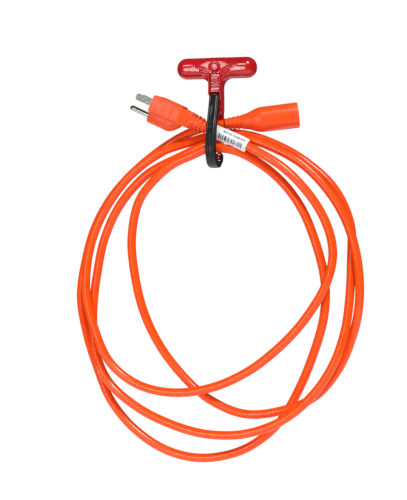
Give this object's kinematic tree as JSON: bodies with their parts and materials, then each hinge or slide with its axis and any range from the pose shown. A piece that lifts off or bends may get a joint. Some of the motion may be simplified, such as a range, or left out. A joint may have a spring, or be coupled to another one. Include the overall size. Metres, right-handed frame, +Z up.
{
  "type": "extension cord with carry handle",
  "caption": "Orange grounded extension cord with moulded plug and connector, hung in loops from a red carry handle with a ratchet jaw.",
  "frame": {"origin": "middle of the grip, above the stem, where the hand holds it", "axes": "+Z up along the stem away from the loops, +X along the grip, -Y the front with the release button"},
  "size_m": [0.2772, 0.057, 0.3774],
  "materials": {
    "handle_red": "glossy moulded plastic",
    "jaw_black": "glossy moulded nylon",
    "cord_orange": "soft satin PVC",
    "insert_white": "matte",
    "insert_orange": "matte moulded PVC",
    "nickel": "nickel-plated",
    "steel": "zinc-plated",
    "contact_brass": "plain",
    "wire_green": "extruded PVC insulation",
    "label_white": "coated film label"
  },
  "bodies": {
    "handle": {"handle_front_shell": "handle_red", "handle_back_shell": "handle_red", "handle_screws": "steel", "button_spring": "steel", "pawl_pin": "steel", "pawl_spring": "steel", "jaw_pin": "steel", "plug_body": "cord_orange", "plug_bridge": "insert_white", "line_blade": "nickel", "neutral_blade": "nickel", "ground_pin": "nickel", "plug_crimps": "contact_brass", "plug_wires": "wire_green", "connector_body": "cord_orange", "connector_core": "insert_orange", "line_contact": "contact_brass", "neutral_contact": "contact_brass", "ground_contact": "contact_brass", "connector_wires": "wire_green", "cord": "cord_orange", "cord_label": "label_white"},
    "jaw": {"jaw_arm": "jaw_black"},
    "button": {"release_button": "handle_red"},
    "lock": {"lock_slide": "handle_red"},
    "pawl": {"pawl": "steel"}
  },
  "joints": [
    {"name": "jaw_swing", "type": "hinge", "parent": "handle", "child": "jaw", "pos_m": [0, 0.008, -0.083], "axis": [1, 0, 0], "range_deg": [0, 110]},
    {"name": "button_press", "type": "slide", "parent": "handle", "child": "button", "axis": [0, 1, 0], "range_m": [0, 0.002], "stiffness_N_per_m": 400, "springref_m": -0.001, "deforming": ["button_spring"]},
    {"name": "pawl_lift", "type": "hinge", "parent": "handle", "child": "pawl", "pos_m": [0, 0.0042, -0.011], "axis": [-1, 0, 0], "range_deg": [0, 10.5]},
    {"name": "lock_slide", "type": "slide", "parent": "handle", "child": "lock", "axis": [0, 0, 1], "range_m": [0, 0.002]}
  ],
  "couplings": [
    {"joint": "pawl_lift", "follows": "button_press", "rad_per_m": 88}
  ]
}
